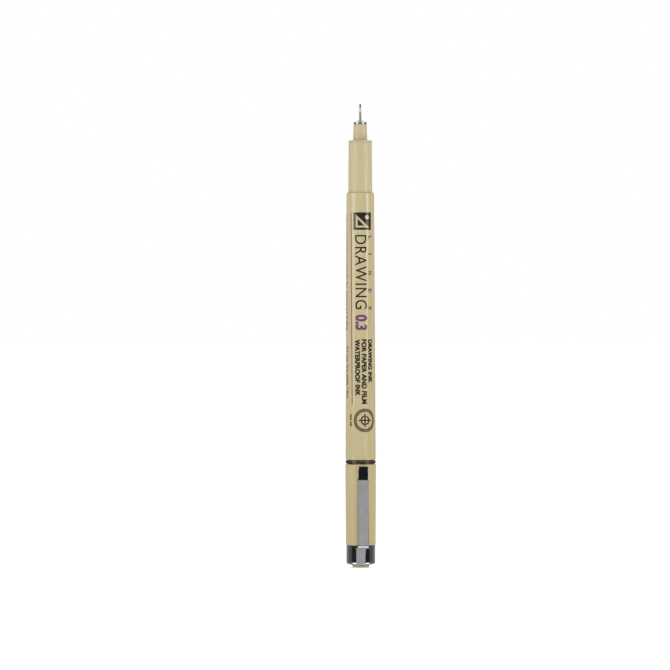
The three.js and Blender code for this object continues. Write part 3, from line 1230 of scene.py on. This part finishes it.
# ---------------------------------------------------------------- studio
def emitter(name, dist, top, foot, strength):
    """A tall soft box facing the pen.  top and foot are the azimuths of its two edges, in
    degrees from the front towards +X, and it fades out towards its foot."""
    a = math.radians((min(top + foot) + max(top + foot)) / 2)
    half = math.radians((max(top + foot) - min(top + foot)) / 2 + 2)
    c = Vector((math.sin(a) * dist, -math.cos(a) * dist, 0))
    side = Vector((math.cos(a), math.sin(a), 0)) * (dist * math.tan(half))
    foot_z, up = Vector((0, 0, 0.018)), Vector((0, 0, 0.46))
    me = bpy.data.meshes.new(name)
    me.from_pydata([c - side + foot_z, c + side + foot_z, c + side + up, c - side + up], [], [(0, 1, 2, 3)])
    ob = bpy.data.objects.new(name, me)
    scene.collection.objects.link(ob)
    m = bpy.data.materials.new(name)
    m.use_nodes = True
    n = Net(m.node_tree)
    out = n.new("ShaderNodeOutputMaterial")
    em = n.new("ShaderNodeEmission")
    m.node_tree.links.new(em.outputs[0], out.inputs[0])
    sep = n.new("ShaderNodeSeparateXYZ")
    n.put(sep.inputs[0], n.new("ShaderNodeNewGeometry").outputs["Position"])
    x, y, z = sep.outputs
    t = n.step(z, 0.026, 0.133, 0.0, 1.0, False)
    here = n.math("MULTIPLY", n.math("ARCTAN2", x, n.math("MULTIPLY", y, -1.0)), 180 / math.pi)
    lo = n.math("MULTIPLY_ADD", t, top[0] - foot[0], foot[0])
    hi = n.math("MULTIPLY_ADD", t, top[1] - foot[1], foot[1])
    rise = n.step(n.math("SUBTRACT", here, lo), -0.8, 0.8)
    fall = n.step(n.math("SUBTRACT", hi, here), -0.8, 0.8)
    fade = n.math("MULTIPLY", n.step(z, 0.000, 0.022), n.step(z, 0.015, 0.135, 0.45, 1.0, False))
    fade = n.math("MULTIPLY", fade, n.math("MULTIPLY", rise, fall))
    n.put(em.inputs["Strength"], n.math("MULTIPLY", fade, strength))
    em.inputs["Color"].default_value = (0.985, 0.985, 1.0, 1)
    me.materials.append(m)
    ob.visible_camera = False
    ob.visible_shadow = False
    return ob


emitter("softbox_left", 0.45, (-73.5, -38.5), (-62.0, -52.0), 3.35)
emitter("softbox_right", 0.45, (48.5, 72.5), (36.5, 46.5), 4.4)

world = bpy.data.worlds.new("studio")
scene.world = world
world.use_nodes = True
n = Net(world.node_tree)
out = n.new("ShaderNodeOutputWorld")
bg = n.new("ShaderNodeBackground")
world.node_tree.links.new(bg.outputs[0], out.inputs[0])
sep = n.new("ShaderNodeSeparateXYZ")
n.put(sep.inputs[0], n.new("ShaderNodeTexCoord").outputs["Generated"])
x, y, z = sep.outputs
az = n.math("MULTIPLY", n.math("ARCTAN2", x, n.math("MULTIPLY", y, -1.0)), 180 / math.pi)
aa = n.math("ABSOLUTE", az)
el = n.math("MULTIPLY", n.math("ARCSINE", z), 180 / math.pi)
# round the horizon
w = n.step(aa, 96, 160, 0.11, 0.36, False)
w = n.lay(w, n.step(el, 2, 25, 0.45, 0.75), n.step(el, -1, 4))
w = n.lay(w, 0.07, n.math("MULTIPLY", n.window(aa, 94, 100, 2.0), n.step(el, -1, 4, 1.0, 0.0)))
# the walls of the room behind the pen: the left one is darker
up = n.step(el, 5, 14)
w = n.lay(w, 0.17, n.math("MULTIPLY", n.window(az, -152, -97, 5.0), up))
w = n.lay(w, 0.46, n.math("MULTIPLY", n.window(az, 97, 152, 5.0), up))
# in front: a grey strip at the level of the pen, dark above and below it
front = n.window(aa, -1, 36.5, 1.2)
w = n.lay(w, 0.14, n.math("MULTIPLY", front, n.window(el, 3.0, 58, 2.0)))
w = n.lay(w, 0.50, n.math("MULTIPLY", front, n.window(el, -10.5, 3.0, 1.5)))
w = n.lay(w, 0.015, n.math("MULTIPLY", front, n.window(el, -40.0, -10.5, 1.5)))
# to the sides: black under the soft boxes
side = n.window(aa, 36.5, 76, 1.2)
w = n.lay(w, 0.02, n.math("MULTIPLY", side, n.window(el, -26.0, 1.0, 1.5)))
w = n.lay(w, 1.6, n.math("MULTIPLY", side, n.window(el, -60.0, -26.0, 3.0)))
# the soft boxes again, as a glossy table shows them
twin = n.math("ADD", n.window(az, -59.5, -41.0, 1.5), n.window(az, 49.5, 66.5, 1.5))
w = n.lay(w, 3.2, n.math("MULTIPLY", twin, n.window(el, -58.0, -15.0, 3.0)))
# a little below the horizon the boxes' light spreads wider, with grey walls beside it
low = n.window(el, -24.0, -11.0, 2.0)
w = n.lay(w, 0.34, n.math("MULTIPLY", n.window(aa, 76, 150, 3.0), low))
w = n.lay(w, 0.40, n.math("MULTIPLY", n.window(az, -37, -17, 2.0), low))
wide = n.math("ADD", n.window(az, -71, -40, 2.0), n.window(az, 46, 75, 2.0))
w = n.lay(w, 3.2, n.math("MULTIPLY", wide, low))
# straight down and straight up
w = n.lay(w, 1.05, n.step(el, -48, -40, 1.0, 0.0))
w = n.lay(w, 0.95, n.step(el, 58, 66))
seen = n.new("ShaderNodeLightPath").outputs["Is Camera Ray"]
w = n.lay(w, 1.0, seen)
n.put(bg.inputs["Strength"], w)
bg.inputs["Color"].default_value = (1, 1, 1, 1)

# floor
me = bpy.data.meshes.new("floor")
S = 40.0
me.from_pydata([(-S, -S, 0), (S, -S, 0), (S, S, 0), (-S, S, 0)], [], [(0, 1, 2, 3)])
floor = bpy.data.objects.new("floor", me)
scene.collection.objects.link(floor)
m, n, b, at = material("floor_white", Roughness=1.0)
b.inputs["Specular IOR Level"].default_value = 0.0
b.inputs["Base Color"].default_value = (0.80, 0.80, 0.80, 1)
b.inputs["Emission Color"].default_value = (1, 1, 1, 1)
b.inputs["Emission Strength"].default_value = 0.56
me.materials.append(m)
floor.visible_glossy = False

# camera
cam = bpy.data.cameras.new("camera")
cam.sensor_width = 36.0
cam.lens = 230.3
cam.clip_start, cam.clip_end = 0.05, 100.0
camera = bpy.data.objects.new("camera", cam)
scene.collection.objects.link(camera)
camera.location = (-0.00803, -1.35, 0.0732)
camera.rotation_euler = (math.pi / 2, math.radians(0.085), 0)
scene.camera = camera

scene.view_settings.view_transform = "Standard"
scene.view_settings.look = "None"
